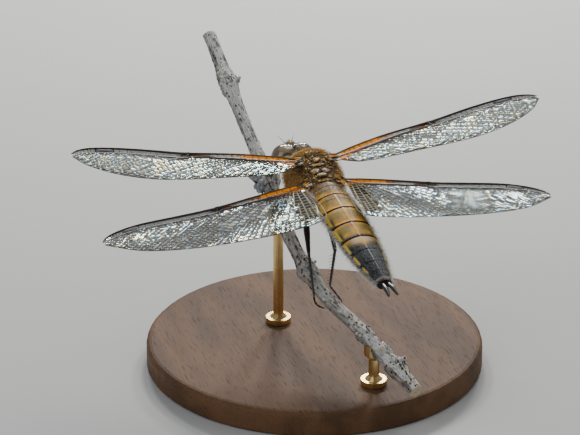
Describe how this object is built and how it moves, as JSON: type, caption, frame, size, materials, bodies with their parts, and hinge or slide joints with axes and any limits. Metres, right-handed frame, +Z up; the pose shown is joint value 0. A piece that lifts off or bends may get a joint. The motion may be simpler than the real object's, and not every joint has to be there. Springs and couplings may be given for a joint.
{
  "type": "four-spotted chaser dragonfly on a display stand",
  "caption": "Life-size perched dragonfly with spread wings, gripping a cut twig carried by short rods on a round base.",
  "frame": {"origin": "centre of the round base's underside, on the surface the stand rests on", "axes": "+Z up, +Y towards the insect's head, +X to its right along the spread wings"},
  "size_m": [0.0815, 0.0752, 0.0482],
  "materials": {
    "body_brown": "brown chitin under golden hair",
    "abdomen_tan": "satin olive-tan chitin with a thin hair coat",
    "abdomen_dark": "satin charcoal chitin with fine hair",
    "leg_black": "glossy black chitin",
    "eye": "glossy faceted compound eye",
    "face": "satin yellow-olive chitin",
    "wing": "clear glossy membrane with dark veins",
    "bark": "weathered grey bark",
    "base_wood": "satin dark walnut",
    "rod_brass": "satin brass"
  },
  "bodies": {
    "root": {"thorax": "body_brown", "prothorax": "body_brown", "head": "body_brown", "eye_left": "eye", "eye_right": "eye", "face": "face", "mouthparts": "face", "antenna_left": "leg_black", "antenna_right": "leg_black", "abdomen_1": "abdomen_tan", "abdomen_2": "abdomen_tan", "abdomen_3": "abdomen_tan", "abdomen_4": "abdomen_tan", "abdomen_5": "abdomen_tan", "abdomen_6": "abdomen_dark", "abdomen_7": "abdomen_dark", "abdomen_8": "abdomen_dark", "abdomen_9": "abdomen_dark", "abdomen_10": "abdomen_dark", "cercus_left": "leg_black", "cercus_right": "leg_black", "epiproct": "leg_black", "forewing_left": "wing", "forewing_right": "wing", "hindwing_left": "wing", "hindwing_right": "wing", "front_left_coxa": "leg_black", "front_left_femur": "leg_black", "front_left_tibia": "leg_black", "front_left_tarsus": "leg_black", "front_right_coxa": "leg_black", "front_right_femur": "leg_black", "front_right_tibia": "leg_black", "front_right_tarsus": "leg_black", "middle_left_coxa": "leg_black", "middle_left_femur": "leg_black", "middle_left_tibia": "leg_black", "middle_left_tarsus": "leg_black", "middle_right_coxa": "leg_black", "middle_right_femur": "leg_black", "middle_right_tibia": "leg_black", "middle_right_tarsus": "leg_black", "hind_left_coxa": "leg_black", "hind_left_femur": "leg_black", "hind_left_tibia": "leg_black", "hind_left_tarsus": "leg_black", "hind_right_coxa": "leg_black", "hind_right_femur": "leg_black", "hind_right_tibia": "leg_black", "hind_right_tarsus": "leg_black", "perch_twig": "bark", "stand_base": "base_wood", "stand_rod_front": "rod_brass", "stand_rod_rear": "rod_brass"}
  },
  "joints": []
}
